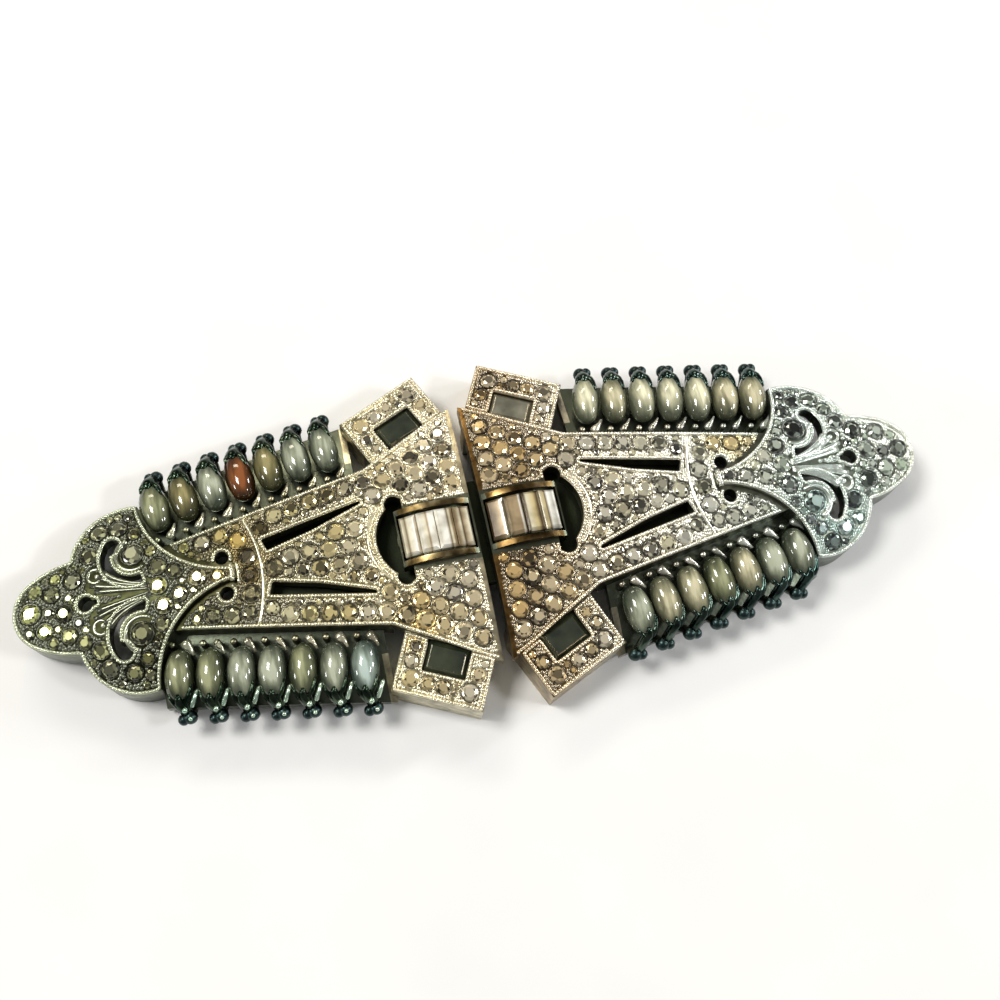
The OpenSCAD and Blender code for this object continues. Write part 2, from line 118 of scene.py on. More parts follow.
def palmette(p):
    q = folded(p)
    length = TIP_LENGTH - TIP_RADIUS
    side_arc = (TIP_HALF_WIDTH ** 2 + length ** 2 - TIP_RADIUS ** 2) / (2 * (TIP_HALF_WIDTH - TIP_RADIUS))
    contact = length * side_arc / (side_arc - TIP_RADIUS)
    tip_sides = common(circle(q, (TIP_X, TIP_HALF_WIDTH - side_arc), side_arc),
                       box(q, (TIP_X, BELOW_AXIS), (TIP_X + contact, TIP_HALF_WIDTH)))
    shape = joined(tip_sides, circle(q, (TIP_X + TIP_LENGTH - TIP_RADIUS, 0), TIP_RADIUS),
                   circle(q, LOBE_CENTRE, LOBE_RADIUS),
                   box(q, (STEM_X, BELOW_AXIS), (LOBE_CENTRE[0], STEM_HALF_WIDTH)),
                   box(q, (LOBE_CENTRE[0], BELOW_AXIS), (TIP_X, TIP_HALF_WIDTH)))
    return common(cut(shape, circle(q, POCKET_CENTRE, POCKET_RADIUS)), STEM_X - q[..., 0])


def scroll_slot(p):
    q = folded(p)
    ring = np.abs(circle(q, SCROLL_CENTRE, SCROLL_RADIUS)) - SCROLL_WIDTH / 2
    angle = np.degrees(np.arctan2(q[..., 1] - SCROLL_CENTRE[1], q[..., 0] - SCROLL_CENTRE[0]))
    outside = np.where((angle > SCROLL_FROM) & (angle < SCROLL_TO), -1.0, 1.0)
    return joined(common(ring, outside), circle(q, SCROLL_BULB, SCROLL_BULB_RADIUS))


def keyhole(p):
    q = folded(p)
    return joined(circle(q, (KEYHOLE_X, 0), KEYHOLE_RADIUS),
                  box(q, (KEYHOLE_TAIL_X, BELOW_AXIS), (KEYHOLE_X, KEYHOLE_TAIL_WIDTH / 2)))


def drilled_hole(p):
    return circle(folded(p), DRILLED_HOLE, DRILLED_RADIUS)


def barrel(p, gap=0.0):
    return box(folded(p), (-1.0, BELOW_AXIS), (BARREL_X + BARREL_HALF_CHORD + gap, BARREL_HALF_WIDTH))


def crescent(p):
    q = folded(p)
    shape = joined(circle(q, (CRESCENT_X, 0), CRESCENT_RADIUS), circle(q, CRESCENT_END, CRESCENT_END_RADIUS))
    return common(cut(shape, barrel(p, BARREL_GAP)), CRESCENT_END[0] - CRESCENT_END_RADIUS - q[..., 0])


def rails(p):
    corners = [(SEAM_X, BELOW_AXIS), (SEAM_X, SEAM_CORNER_Y), *FLARE, RAIL_BEND, RAIL_TIP,
               (RAIL_TIP[0], BELOW_AXIS)]
    return polygon(folded(p), corners)


def rail_plate(p):
    slot = polygon(folded(p), list(SLOT))
    return cut(rails(p), slot, crescent(p), drilled_hole(p), barrel(p), palmette(p))


def palmette_plate(p):
    return cut(palmette(p), scroll_slot(p), keyhole(p), drilled_hole(p))


# Surfaces that the paving lies on: plan point to place and normal

SLOPE_STEP = 0.05


def dome_height(x, y, cross, rise):
    ring = LONG_RADIUS - cross + np.sqrt((cross + rise) ** 2 - y * y)
    return CROWN - LONG_RADIUS + np.sqrt(ring * ring - x * x)


def dome_surface(cross, rise):
    def height(x, y):
        return dome_height(x, y, cross, rise)

    def surface(x, y):
        d = SLOPE_STEP
        slope_x = (height(x + d, y) - height(x - d, y)) / (2 * d)
        slope_y = (height(x, y + d) - height(x, y - d)) / (2 * d)
        return Vector((x, y, height(x, y))), Vector((-slope_x, -slope_y, 1)).normalized()

    return surface


def block_plan(p):
    """Plan places of points of the far shoulder block: u along its outer edge, v inward."""
    u, v = p[..., 0], p[..., 1] * math.cos(BLOCK_TILT)
    c, s = math.cos(BLOCK_TURN), math.sin(BLOCK_TURN)
    return np.stack([BLOCK_CORNER[0] + u * c - v * s, BLOCK_CORNER[1] - u * s - v * c], -1)


def block_surface(u, v):
    x, y = block_plan(np.array([u, v]))
    tilt = math.sin(BLOCK_TILT)
    normal = Vector((math.sin(BLOCK_TURN) * tilt, math.cos(BLOCK_TURN) * tilt, math.cos(BLOCK_TILT)))
    return Vector((x, y, BLOCK_HEIGHT + v * tilt)), normal.normalized()


def block_top(p):
    (u, v), (half_u, half_v) = (BLOCK_LENGTH / 2, STONE_INSET), (STONE_LENGTH / 2, STONE_WIDTH / 2)
    stone = box(p, (u - half_u, v - half_v), (u + half_u, v + half_v))
    plan = block_plan(p)
    return common(cut(box(p, (0, 0), (BLOCK_LENGTH, BLOCK_WIDTH)), stone, rails(plan)), SEAM_X - plan[..., 0])


# Gridded regions: edges, distances and close packing

STEP, REACH, PULL_FALL = 0.08, 1.7, 0.35
SHORTEST_LOOP = 8


class Region:
    """A region of the plan on a fine grid, with the distance of each point to the region's edge."""

    def __init__(self, shape, low, high):
        self.xs = np.arange(low[0], high[0], STEP)
        self.ys = np.arange(low[1], high[1], STEP)
        self.grid = np.stack(np.meshgrid(self.xs, self.ys, indexing="ij"), -1)
        self.value = shape(self.grid)
        self.room = np.full(self.value.shape, REACH)
        for loop in contours(self.value, 0.0, self.xs, self.ys):
            for point in resample(loop, STEP):
                self.close_in(point, 0.0)
        self.room[self.value > 0] *= -1
        self.pull = np.exp(-np.maximum(self.room, 0) / PULL_FALL)

    def close_in(self, point, radius):
        reach = radius + REACH
        i = np.searchsorted(self.xs, (point[0] - reach, point[0] + reach))
        j = np.searchsorted(self.ys, (point[1] - reach, point[1] + reach))
        w = slice(*i), slice(*j)
        gap = np.hypot(self.grid[w][..., 0] - point[0], self.grid[w][..., 1] - point[1]) - radius
        self.room[w] = np.where(self.room[w] < 0, self.room[w], np.minimum(self.room[w], gap))
        return w, gap

    def block_out(self, points, radius):
        for point in points:
            self.close_in(point, radius)

    def place(self, point, radius, gap):
        w, away = self.close_in(point, radius + gap)
        self.pull[w] += np.exp(-np.maximum(away - radius, 0) / PULL_FALL)

    def fill(self, radius, gap):
        """Packs circles of one radius as closely as they go, along the edges first."""
        placed = []
        while True:
            score = np.where(self.room >= radius, self.pull, -1.0)
            i, j = np.unravel_index(np.argmax(score), score.shape)
            if score[i, j] < 0:
                return placed
            point = (float(self.xs[i]), float(self.ys[j]))
            self.place(point, radius, gap)
            placed.append((*point, radius))


# A grid cell's edges are 0 low, 1 right, 2 high, 3 left: the pairs that a contour joins, by corners inside

CELL_EDGES = ("", "30", "01", "31", "12", "32 01", "02", "32", "23", "20", "30 12", "21", "13", "10", "03")
CELL_STEPS = {"0": (0, 0, 0), "1": (1, 0, 1), "2": (0, 1, 0), "3": (0, 0, 1)}


def contours(field, level, xs, ys):
    """Closed loops on which a gridded field crosses a level, by marching squares."""
    f = field - level
    low = f < 0
    cell = low[:-1, :-1] * 1 + low[1:, :-1] * 2 + low[1:, 1:] * 4 + low[:-1, 1:] * 8
    links, places = {}, {}
    for i, j in np.argwhere((cell > 0) & (cell < 15)):
        for pair in CELL_EDGES[cell[i, j]].split():
            ends = [(i + di, j + dj, way) for di, dj, way in (CELL_STEPS[edge] for edge in pair)]
            for k, other in zip(ends, reversed(ends)):
                links.setdefault(k, []).append(other)
                if k not in places:
                    m, n = (k[0] + 1, k[1]) if k[2] == 0 else (k[0], k[1] + 1)
                    fa, fb = f[k[0], k[1]], f[m, n]
                    t = fa / (fa - fb)
                    places[k] = (xs[k[0]] + t * (xs[m] - xs[k[0]]), ys[k[1]] + t * (ys[n] - ys[k[1]]))
    loops, seen = [], set()
    for start in links:
        loop, now = [], start
        while now not in seen:
            seen.add(now)
            loop.append(places[now])
            now = next((k for k in links[now] if k not in seen), now)
        if len(loop) > SHORTEST_LOOP:
            loops.append(np.array(loop))
    return loops


def resample(loop, spacing):
    """Points at an even spacing along a closed loop."""
    closed = np.vstack([loop, loop[:1]])
    run = np.concatenate([[0], np.cumsum(np.hypot(*np.diff(closed, axis=0).T))])
    count = max(3, round(run[-1] / spacing))
    at = np.linspace(0, run[-1], count, endpoint=False)
    return np.stack([np.interp(at, run, closed[:, 0]), np.interp(at, run, closed[:, 1])], -1)


# Small shapes that are repeated


def ring_points(count, radius, z, turn=0.0):
    angles = [2 * math.pi * (i + turn) / count for i in range(count)]
    return [(radius * math.cos(a), radius * math.sin(a), z) for a in angles]


def quads(sides, rings, around=True, loop=False):
    """Faces between rings of vertices that follow each other."""
    faces = []
    for r in range(rings if loop else rings - 1):
        a, b = r * sides, (r + 1) % rings * sides
        for i in range(sides if around else sides - 1):
            j = (i + 1) % sides
            faces.append((a + i, a + j, b + j, b + i))
    return faces


def stitched(rings, loop=False):
    """Vertices and faces of rings of equal count, joined in order: a loop, or with a flat cap at each end."""
    n, last = len(rings[0]), len(rings) - 1
    faces = quads(n, len(rings), loop=loop)
    if not loop:
        faces += [tuple(reversed(range(n))), tuple(range(last * n, last * n + n))]
    return [p for ring in rings for p in ring], faces


TABLE, KITES, GIRDLE, BASE = (0.56, 0.36), (0.8, 0.22, 0.5), (1.0, 0.04), (0.92, -0.3)


def brilliant():
    """Round stone of radius 1: girdle at zero, eight-sided table, crown of kites and triangles."""
    verts = ring_points(8, *TABLE) + ring_points(8, *KITES)
    verts += ring_points(16, *GIRDLE) + ring_points(16, *BASE)
    faces = [tuple(range(8))]
    for i in range(8):
        j, g = (i + 1) % 8, 16 + 2 * i
        h = 16 + (2 * i + 2) % 16
        faces += [(i, 8 + i, j), (i, 8 + (i - 1) % 8, g, 8 + i), (8 + i, g, g + 1), (8 + i, g + 1, h)]
    for i in range(16):
        j = (i + 1) % 16
        faces.append((16 + i, 32 + i, 32 + j, 16 + j))
    faces.append(tuple(reversed(range(32, 48))))
    return verts, faces


# Of radius 1: a bead with a stub for its lower half, a ball, and a ring of metal that goes around a stone

COLLAR_PROFILE = ((1.2, -0.3), (1.2 * 0.985, 0.1), (1.1, 0.24), (1.0, 0.12), (0.97, -0.3))
BRILLIANT = brilliant()
GRAIN = stitched([ring_points(8, 0.9, -0.5), ring_points(8, 1.0, 0.1, 0.5), ring_points(8, 0.62, 0.78)])
BALL = stitched([ring_points(12, math.cos(a), math.sin(a)) for a in map(math.radians, range(-75, 76, 30))])
COLLAR = stitched([ring_points(14, radius, z) for radius, z in COLLAR_PROFILE], loop=True)


def radii_along(radius, count):
    """One radius for all points, or a few radii shared out evenly along them."""
    radii = np.atleast_1d(radius)
    return np.interp(np.linspace(0, 1, count), np.linspace(0, 1, len(radii)), radii)


RIDGE_PROFILE = ((-1.0, -0.4), (-0.8, 0.45), (0.0, 0.85), (0.8, 0.45), (1.0, -0.4))
TUBE_SIDES = 8
RANDOM = random.Random(20)


def new_object(name, data):
    thing = bpy.data.objects.new(name, data)
    scene.collection.objects.link(thing)
    return thing


class Heap:
    """Many copies of small shapes gathered into one mesh, each copy with a shade of its own."""

    def __init__(self):
        self.verts, self.faces, self.shades = [], [], []

    def add(self, shape, place, normal, scale, turn=0.0, shade=WHITE, table=(1.0,), facets=(1.0,)):
        """One copy; its first face and its other faces have levels drawn from two lists."""
        verts, faces = shape
        z = Vector(normal)
        x = (Vector((1, 0, 0)) - z * z.x).normalized()
        y = z.cross(x)
        c, s = math.cos(turn), math.sin(turn)
        base = len(self.verts)
        for a, b, h in verts:
            a, b = a * c - b * s, a * s + b * c
            self.verts.append(place + (x * a + y * b + z * h) * scale)
        for number, face in enumerate(faces):
            self.faces.append(tuple(base + k for k in face))
            level = min(RANDOM.choice(facets if number else table), 1.0 / max(shade))
            self.shades.append(tuple(v * level for v in shade))

    def strip(self, rings, around, loop, shade):
        """Skin over rings of vertices that follow each other; open ends are capped."""
        m, n, base = len(rings[0]), len(rings), len(self.verts)
        for ring in rings:
            self.verts += ring
        faces = [(face[0], *face[:0:-1]) for face in quads(m, n, around, loop)]
        if not loop:
            faces += [tuple(range(m)), tuple(reversed(range(n * m - m, n * m)))]
        self.faces += [tuple(base + k for k in face) for face in faces]
        self.shades += [shade if isinstance(shade, tuple) else (shade, shade, shade)] * len(faces)

    def ridge(self, points, radius, surface, loop=False, shade=1.0):
        """Raised line of metal that follows plan points on a surface."""
        places = [surface(float(x), float(y)) for x, y in points]
        n, rings = len(places), []
        for k, ((place, normal), r) in enumerate(zip(places, radii_along(radius, len(places)))):
            before = places[k - 1 if loop or k else k][0]
            after = places[(k + 1) % n if loop or k < n - 1 else k][0]
            side = normal.cross(after - before).normalized()
            rings.append([place + side * (a * r) + normal * (h * r) for a, h in RIDGE_PROFILE])
        self.strip(rings, False, loop, shade)

    def tube(self, points, radius, shade=1.0):
        """Round wire through points in space."""
        points = [Vector(p) for p in points]
        rings = []
        for k, (p, r) in enumerate(zip(points, radii_along(radius, len(points)))):
            along = (points[min(k + 1, len(points) - 1)] - points[max(k - 1, 0)]).normalized()
            side = along.cross(Vector((0.0, 0.0, 1.0))).normalized()
            up = side.cross(along)
            rings.append([p + side * a + up * b for a, b, h in ring_points(TUBE_SIDES, r, 0.0)])
        self.strip(rings, True, False, shade)

    def build(self, name, material, slot, mirror, smooth):
        verts = [(v.x * mirror * MM, v.y * MM, v.z * MM) for v in self.verts]
        faces = self.faces if mirror > 0 else [tuple(reversed(f)) for f in self.faces]
        mesh = bpy.data.meshes.new(name)
        mesh.from_pydata(verts, [], faces)
        shade = mesh.attributes.new("shade", "FLOAT_COLOR", "FACE")
        shade.data.foreach_set("color", np.array([(*s, 1.0) for s in self.shades], np.float32).ravel())
        mesh.polygons.foreach_set("use_smooth", [smooth] * len(mesh.polygons))
        mesh.materials.append(material)
        piece = new_object(name, mesh)
        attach(piece, "root")


# Materials


class Recipe:
    """The nodes of one material, with short ways to add the ones that are used here."""

    def __init__(self, name):
        self.material = bpy.data.materials.new(name)
        self.material.use_nodes = True
        self.tree = self.material.node_tree

    def feed(self, node, inputs):
        """Gives a node's inputs numbers, colours or the values of other nodes."""
        for key, value in inputs.items():
            socket = node.inputs[key]
            if isinstance(value, bpy.types.NodeSocket):
                self.tree.links.new(value, socket)
            elif socket.type == "RGBA":
                socket.default_value = (*value, 1.0)
            else:
                socket.default_value = value

    def done(self, inputs):
        self.feed(self.tree.nodes["Principled BSDF"], inputs)
        return self.material

    def node(self, kind, inputs, output=0, **settings):
        """Adds a node and gives one of its outputs."""
        node = self.tree.nodes.new("ShaderNode" + kind)
        for key, value in settings.items():
            setattr(node, key, value)
        self.feed(node, inputs)
        return node.outputs[output]

    def where(self, kind="Object"):
        return self.node("TexCoord", {}, kind)

    def split(self, vector):
        return list(self.node("SeparateXYZ", {"Vector": vector}).node.outputs)

    def where_mm(self):
        """Values of x, y and z in the brooch's frame, in millimetres."""
        return self.split(self.node("VectorMath", {0: self.where(), "Scale": 1 / MM}, operation="SCALE"))

    def noise(self, scale, detail=3.0, where=None):
        return self.node("TexNoise", {"Scale": scale, "Detail": detail, "Vector": where or self.where()})

    def ramp(self, value, stops):
        colour = self.node("ValToRGB", {"Fac": value})
        elements = colour.node.color_ramp.elements
        while len(elements) < len(stops):
            elements.new(0.5)
        for element, (at, shade) in zip(elements, stops):
            element.position = at
            element.color = (*shade, 1.0)
        return colour

    def between(self, low, high, share):
        return self.node("MapRange", {"To Min": low, "To Max": high, "Value": share})

    def skin(self, scale, strength):
        """A fine uneven skin, for the shader's normal."""
        height = self.noise(scale, 2.0)
        return self.node("Bump", {"Strength": strength, "Distance": SKIN_DEPTH, "Height": height})

    def shade(self):
        """The colour that each copy of a small shape has for itself."""
        return self.node("Attribute", {}, attribute_name="shade")

    def reckon(self, operation, *terms, clamp=False):
        return self.node("Math", dict(enumerate(terms)), operation=operation, use_clamp=clamp)

    def plus(self, first, second):
        return self.reckon("ADD", first, second)

    def minus(self, first, second):
        return self.reckon("SUBTRACT", first, second)

    def above(self, value, limit):
        return self.reckon("GREATER_THAN", value, limit)

    def below(self, value, limit):
        return self.reckon("LESS_THAN", value, limit)

    def line(self, value, slope, start, clamp=False):
        return self.reckon("MULTIPLY_ADD", value, slope, start, clamp=clamp)

    def times(self, *factors):
        product = factors[0]
        for factor in factors[1:]:
            product = self.reckon("MULTIPLY", product, factor)
        return product

    def blend(self, factor, first, second, way="MIX"):
        return self.node("Mix", {0: factor, 6: first, 7: second}, 2, data_type="RGBA", blend_type=way)

    def tint(self, first, second, factor=1.0):
        return self.blend(factor, first, second, "MULTIPLY")


SKIN_DEPTH = 0.06 * MM
CLEAR_COAT = {"Coat Weight": 1.0, "Coat Roughness": 0.02}
TONE_STOPS = (0.35, 0.62)


def cast_colour(metal, base, along, strength):
    """The cast clips' colour, from the plain metal's.

    On the paved tops the colour is painted shade between the stones, lighter near the seam as a painted pool
    of light;
    the barrel's rims get patches of painted highlight and shade. What lies deep below the dome is tarnished
    and darkened with painted shade, the slots' walls and the ledges beside the barrel are darkened as painted
    shadow, and the outer claws are painted with a dark reflection.
    """
    x, y, level = metal.where_mm()
    for value, radius in ((x, LONG_RADIUS), (y, CROSS_RADIUS)):
        level = metal.plus(level, metal.times(value, value, 0.5 / radius))
    depth = metal.minus(CROWN, level)
    x, y = metal.reckon("ABSOLUTE", x), metal.reckon("ABSOLUTE", y)
    facing = metal.split(metal.where("Normal"))[2]

    by_barrel = metal.below(x, BARREL_END)
    on_barrel = metal.times(by_barrel, metal.below(y, BARREL_HALF_WIDTH + RIM_REACH))
    shallow = metal.times(metal.above(facing, TOP_FACING), metal.below(depth, PAVED_DEPTH))
    paved = metal.times(shallow, metal.minus(1.0, on_barrel))
    # painted shade on the paved tops between the stones, with a painted pool of light near the seam
    base = metal.tint(base, metal.ramp(along, PAVED_LIGHT_AND_SHADE), paved)
    # patches of painted highlight and painted shade on the barrel's rims
    base = metal.tint(base, metal.ramp(metal.noise(RIM_PATCHES, 2.0), RIM_HIGHLIGHTS_AND_SHADE), on_barrel)

    by_block = metal.times(metal.below(x, BLOCK_REACH), metal.above(y, BLOCK_START))
    # walls that face sideways are darkened as painted shade
    walls = metal.times(metal.below(facing, WALL_FACING), metal.above(depth, WALL_DEPTH), WALL_SHADE)
    # deep below the dome: tarnish together with painted shade
    deep = metal.line(depth, 1 / RECESS_SPAN, -RECESS_START / RECESS_SPAN, clamp=True)
    deep = metal.times(metal.reckon("MAXIMUM", deep, walls), metal.minus(1.0, by_block))
    # painted shadow on the ledges beside the barrel
    ledge = metal.times(metal.below(y, BARREL_SIDE), metal.above(depth, LEDGE_DEPTH))
    ledge = metal.times(by_barrel, ledge, LEDGE_SHADOW)
    base = metal.blend(metal.times(metal.reckon("MAXIMUM", deep, ledge), strength), base, TARNISH_AND_SHADE)

    # outer claws: a painted dark reflection
    row = metal.line(x, ROW_SLOPE, ROW_START[1] - ROW_SLOPE * ROW_START[0])
    claws = metal.line(metal.minus(y, row), CLAW_FADE, -CLAW_FADE * CLAW_MASK_REACH, clamp=True)
    return metal.blend(metal.times(claws, metal.above(x, CLAW_MASK_X)), base, CLAW_DARK_REFLECTION)


def metal_material(name, dark, light, roughness, scale=900.0, bumpy=0.25, painted_light_and_tarnish=0.0, shaded=False,
                   reflection_share=1.0, metallic=1.0):
    """Plated metal: patchy brightness and an uneven skin, with a painted reflection that is warm at the seam
    and cool at the right tip.
    """
    metal = Recipe(name)
    tones = list(zip(TONE_STOPS, (dark, light)))
    along = metal.line(metal.where_mm()[0], 0.5 / HALF_LENGTH, 0.5)
    base = metal.tint(metal.ramp(metal.noise(scale), tones), metal.ramp(along, REFLECTION_TINTS), reflection_share)
    # the cast clips' painted light and shade, with tarnish in the recesses
    if painted_light_and_tarnish:
        base = cast_colour(metal, base, along, painted_light_and_tarnish)
    if shaded:
        base = metal.tint(base, metal.shade())
    rough = metal.between(*roughness, metal.noise(scale * WEAR_SCALE, 2.0))
    skin = metal.skin(scale * SKIN_SCALE, bumpy)
    return metal.done({"Base Color": base, "Metallic": metallic, "Roughness": rough, "Normal": skin})


def stone_material(name):
    """Foiled rhinestone: each facet has a painted brightness of its own, a painted sparkle, under a clear
    coat.
    """
    stone = Recipe(name)
    rough = stone.between(*STONE_ROUGHNESS, stone.noise(STONE_SMEAR, 2.0))
    return stone.done({"Base Color": stone.shade(), "Metallic": 0.7, "Roughness": rough, **CLEAR_COAT})


def cabochon_material(name, tint):
    """Smoky glass with cloudy streaks inside; light in its middle and dark toward its rim as painted light
    and shade.
    """
    glass = Recipe(name)
    cloud = glass.noise(1.0, where=glass.node("Mapping", {"Scale": STREAKS, "Vector": glass.where()}))
    across, along, up = (glass.line(value, 2.0, -1.0) for value in glass.split(glass.where("Generated")))
    out = glass.plus(glass.times(across, across), glass.times(along, along))
    shades = glass.ramp(glass.plus(out, glass.line(cloud, STREAK_DEPTH, -STREAK_DEPTH / 2)), CABOCHON_LIGHT_AND_SHADE)
    return glass.done({"Base Color": glass.tint(shades, tint), "Transmission Weight": 0.12, "IOR": 1.45,
                       "Roughness": 0.1, "Coat Weight": 0.5, "Coat Roughness": 0.02})


def baguette_material(name, bands):
    """Foiled glass cut in steps: straight bands along the stone, painted reflections and shade of the steps
    over the glass's own cream and tan, a little cloudy.
    """
    glass = Recipe(name)
    colour = glass.ramp(glass.split(glass.where("Generated"))[0], bands)
    cloud = glass.ramp(glass.noise(BAGUETTE_CLOUD, 2.0), BAGUETTE_HAZE)
    return glass.done({"Base Color": glass.tint(colour, cloud), "Metallic": 0.2, "Roughness": 0.16,
                       **CLEAR_COAT})


def dark_stone_material(name, dark, light):
    """Dark glass with a faint cloud; its lighter version paints the reflection on one stone."""
    glass = Recipe(name)
    colour = glass.ramp(glass.noise(DARK_STONE_CLOUD), [(0.35, dark), (0.7, light)])
    return glass.done({"Base Color": colour, "Roughness": 0.05, "IOR": 1.6, **CLEAR_COAT})


def steel_material():
    """Satin steel of the pin; the frame plate above it is near-black as a painted shadow in the openings."""
    steel = Recipe("pin_metal")
    colour = steel.ramp(steel.noise(STEEL_GRAIN), list(zip(TONE_STOPS, STEEL_TONES)))
    high = steel.above(steel.where_mm()[2], FRAME_UNDERSIDE)
    return steel.done({"Base Color": steel.blend(high, colour, FRAME_SHADOW), "Metallic": 0.9,
                       "Roughness": 0.42, "Normal": steel.skin(STEEL_SKIN, 0.1)})


HALF_LENGTH = 41.0
# Painted reflection colour along the brooch: warm at the seam, cool at the right tip
REFLECTION_TINTS = [
    (0.0, (0.74, 0.81, 0.58)), (0.15, (0.64, 0.7, 0.48)), (0.27, (0.84, 0.79, 0.54)),
    (0.4, (1.0, 0.93, 0.66)), (0.49, (1.0, 0.93, 0.72)), (0.508, (0.74, 0.58, 0.34)),
    (0.56, (0.84, 0.68, 0.44)), (0.61, (1.0, 0.92, 0.72)), (0.72, (1.0, 0.98, 0.86)),
    (0.88, (0.86, 1.0, 0.96)), (1.0, (0.94, 1.0, 0.92))]
# Paved tops along the brooch: painted shade between the stones, lighter near the seam as painted light
PAVED_LIGHT_AND_SHADE = [
    (0.0, (0.05, 0.05, 0.032)), (0.2, (0.06, 0.06, 0.04)), (0.36, (0.36, 0.34, 0.28)),
    (0.44, (0.85, 0.8, 0.68)), (0.494, (0.95, 0.93, 0.86)), (0.505, (0.42, 0.31, 0.18)),
    (0.535, (0.36, 0.27, 0.17)), (0.66, (0.4, 0.38, 0.31)), (1.0, (0.46, 0.46, 0.42))]
# Rim patches: painted shade and painted highlights
RIM_HIGHLIGHTS_AND_SHADE = [(0.42, (0.12, 0.09, 0.05)), (0.55, (0.42, 0.34, 0.22)), (0.68, (1.0, 0.97, 0.9))]
RIM_PATCHES, RIM_REACH = 420.0, 0.03
# Tarnish with painted shade for recesses, walls and ledges; the outer claws' painted dark reflection
TARNISH_AND_SHADE, CLAW_DARK_REFLECTION = (0.095, 0.11, 0.08), (0.034, 0.056, 0.054)
PAVED_DEPTH, LEDGE_DEPTH, WALL_DEPTH = 0.75, 0.25, 0.1
TOP_FACING, WALL_FACING = 0.7, 0.35
# How much painted shade the walls and the ledges get
WALL_SHADE, LEDGE_SHADOW = 0.8, 0.85
RECESS_START, RECESS_SPAN = 1.15, 1.1
BARREL_END, BLOCK_REACH, BLOCK_START = 7.4, 10.6, 9.0
CLAW_MASK_REACH, CLAW_MASK_X, CLAW_FADE = 2.75, 9.6, 3.0
WEAR_SCALE, SKIN_SCALE = 1.7, 3.0
STONE_ROUGHNESS, STONE_SMEAR = (0.06, 0.18), 2500.0
STREAKS, STREAK_DEPTH = (1500.0, 300.0, 600.0), 1.6
# Painted light in the cabochons' middles and painted shade toward their rims
CABOCHON_LIGHT_AND_SHADE = [(0.0, (0.46, 0.47, 0.37)), (0.25, (0.25, 0.26, 0.19)), (0.55, (0.11, 0.12, 0.085)),
                   (0.88, (0.042, 0.05, 0.035))]
CABOCHON_TINTS = {
    "olive": (0.8, 0.82, 0.6), "grey": (1.05, 1.1, 1.05), "taupe": (1.45, 1.32, 1.12),
    "pale": (1.95, 1.85, 1.7), "amber": (0.58, 0.19, 0.07), "blue": (1.1, 1.3, 1.5),
    "dusk": (0.72, 0.62, 0.36)}
CABOCHON_ROWS = {
    ("left", "near"): "olive olive grey grey olive grey blue",
    ("left", "far"): "olive dusk grey amber dusk grey grey",
    ("right", "near"): "grey grey taupe olive taupe taupe grey",
    ("right", "far"): "taupe taupe pale pale pale taupe pale"}
CREAM, TAN, BROWN, PALE = (0.82, 0.76, 0.56), (0.4, 0.3, 0.17), (0.1, 0.065, 0.03), (0.96, 0.94, 0.84)
GREY, GOLD, DIM = (0.5, 0.5, 0.44), (0.62, 0.5, 0.24), (0.2, 0.15, 0.08)
BAGUETTE_CLOUD, BAGUETTE_HAZE = 700.0, [(0.35, (0.62, 0.6, 0.56)), (0.6, WHITE)]
# Bands of painted reflection and shade from the step facets, over the glass's own cream and tan
BAGUETTE_REFLECTION_BANDS = {
    "left": (
        [(0.08, DIM), (0.2, TAN), (0.4, CREAM), (0.5, BROWN), (0.6, TAN), (0.85, CREAM)],
        [(0.1, PALE), (0.55, PALE), (0.68, DIM), (0.78, CREAM), (0.9, TAN)],
        [(0.12, PALE), (0.45, CREAM), (0.55, TAN), (0.65, PALE), (0.9, PALE)],
        [(0.1, CREAM), (0.3, DIM), (0.42, CREAM), (0.7, PALE), (0.92, TAN)]),
    "right": (
        [(0.1, BROWN), (0.35, DIM), (0.6, TAN), (0.8, CREAM), (0.92, BROWN)],
        [(0.1, DIM), (0.3, TAN), (0.75, TAN), (0.84, PALE), (0.95, BROWN)],
        [(0.1, BROWN), (0.2, CREAM), (0.6, GOLD), (0.8, BROWN), (0.95, BROWN)],
        [(0.1, CREAM), (0.28, GOLD), (0.36, BROWN), (0.5, PALE), (0.78, GREY), (0.9, PALE)])}
DARK_STONE_CLOUD, STEEL_GRAIN, STEEL_SKIN = 500.0, 400.0, 1800.0
STEEL_TONES = ((0.16, 0.16, 0.14), (0.34, 0.34, 0.31))
# Frame plate colour: a painted shadow seen through the crescents
FRAME_UNDERSIDE, FRAME_SHADOW = 2.7, (0.018, 0.022, 0.012)
CAST_METAL = metal_material("plated_metal", (0.3, 0.29, 0.27), (0.66, 0.65, 0.61), (0.22, 0.45),
                            painted_light_and_tarnish=0.97)
BRIGHT = metal_material("bright_metal", (0.7, 0.69, 0.65), (0.98, 0.97, 0.94), (0.14, 0.3), 1500.0, 0.1,
                        shaded=True, reflection_share=0.8, metallic=0.78)
# near-black metal of the claw arms: a painted dark reflection
DARK_METAL = metal_material("claw_dark_reflection_metal", (0.016, 0.03, 0.028), (0.075, 0.11, 0.105), (0.1, 0.25))
RHINESTONE = stone_material("rhinestone")
CABOCHON_GLASS = {
    name: cabochon_material(f"cabochon_glass_{name}", tint) for name, tint in CABOCHON_TINTS.items()}
DARK_STONE = dark_stone_material("dark_glass", (0.008, 0.012, 0.006), (0.034, 0.042, 0.022))
# the right far square stone: dark glass lightened as a painted reflection
REFLECTING_DARK_STONE = dark_stone_material("dark_glass_painted_reflection", (0.09, 0.085, 0.06), (0.22, 0.21, 0.155))
STEEL = steel_material()

